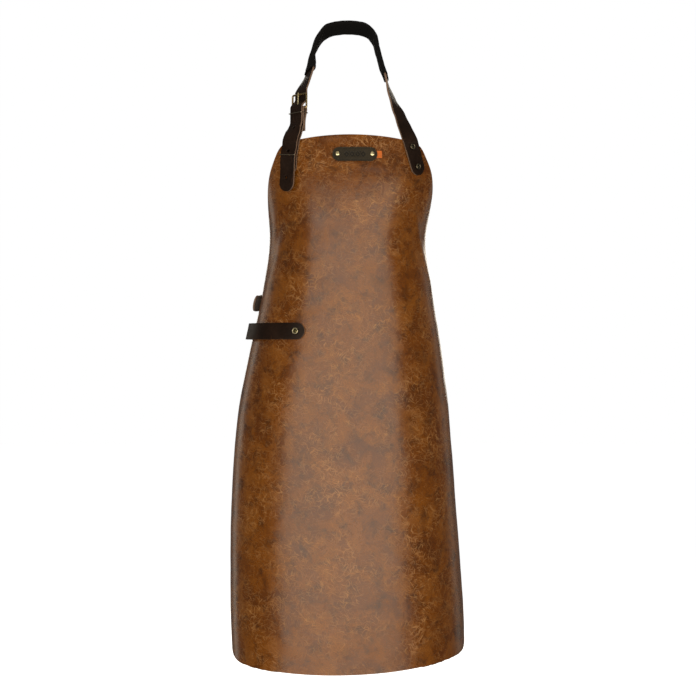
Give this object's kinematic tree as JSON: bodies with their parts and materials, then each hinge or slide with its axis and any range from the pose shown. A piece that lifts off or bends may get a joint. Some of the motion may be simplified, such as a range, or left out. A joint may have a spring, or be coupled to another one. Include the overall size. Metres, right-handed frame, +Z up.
{
  "type": "leather bib apron",
  "caption": "Full-grain leather bib apron in its worn shape, with a buckled neck strap, padded neck sleeve, buckled waist strap and towel loop",
  "frame": {"origin": "seat of the neck loop: the inner face of the neck pad at its crown, where a neck, peg or hook carries the apron", "axes": "+Z up, -Y the front of the apron, +X to the right in the front view"},
  "size_m": [0.364, 0.2314, 0.9943],
  "materials": {
    "tan_hide": "full-grain pull-up leather, waxed, mottled and finely scratched",
    "strap_leather": "dark brown strap leather with light raw edges",
    "label_leather": "matt grey-brown leather, embossed",
    "black_cloth": "soft black woven sleeve",
    "orange_ribbon": "woven ribbon",
    "antique_brass": "polished antique brass",
    "dark_brass": "dark antique brass"
  },
  "bodies": {
    "apron": {"apron_panel": "tan_hide", "label_plate": "label_leather", "label_rivet_left": "antique_brass", "label_rivet_right": "antique_brass", "side_tag": "orange_ribbon", "neck_strap": "strap_leather", "neck_pad": "black_cloth", "neck_buckle_strap": "strap_leather", "neck_buckle_frame": "antique_brass", "neck_rivet_right_upper": "dark_brass", "neck_rivet_right_lower": "dark_brass", "neck_rivet_left_upper": "dark_brass", "neck_rivet_left_lower": "dark_brass", "waist_strap": "strap_leather", "waist_buckle_strap": "strap_leather", "waist_buckle_frame": "antique_brass", "waist_rivet_right_front": "dark_brass", "waist_rivet_right_rear": "dark_brass", "waist_rivet_left_front": "dark_brass", "waist_rivet_left_rear": "dark_brass", "towel_loop": "strap_leather", "towel_rivet_front": "dark_brass", "towel_rivet_rear": "dark_brass"},
    "neck_tongue": {"neck_buckle_tongue": "antique_brass"},
    "waist_tongue": {"waist_buckle_tongue": "antique_brass"},
    "upper_keeper": {"neck_keeper_upper": "antique_brass"},
    "lower_keeper": {"neck_keeper_lower": "antique_brass"},
    "belt_keeper": {"waist_keeper": "antique_brass"}
  },
  "joints": [
    {"name": "neck_tongue_pivot", "type": "hinge", "parent": "apron", "child": "neck_tongue", "pos_m": [-0.0735, -0.068, -0.1325], "axis": [0.6928, -0.7198, 0.0441], "range_deg": [0, 5]},
    {"name": "waist_tongue_pivot", "type": "hinge", "parent": "apron", "child": "waist_tongue", "pos_m": [-0.04766, 0.09916, -0.4245], "axis": [0.071, -0.1934, 0.9785], "range_deg": [0, 5]},
    {"name": "neck_keeper_upper_slide", "type": "slide", "parent": "apron", "child": "upper_keeper", "axis": [-0.0056, -0.0665, -0.9978], "range_m": [0, 0.01]},
    {"name": "neck_keeper_lower_slide", "type": "slide", "parent": "apron", "child": "lower_keeper", "axis": [-0.0781, 0.0036, -0.9969], "range_m": [-0.003, 0.003]},
    {"name": "waist_keeper_slide", "type": "slide", "parent": "apron", "child": "belt_keeper", "axis": [-0.9583, -0.2855, 0.0131], "range_m": [0, 0.01]}
  ]
}
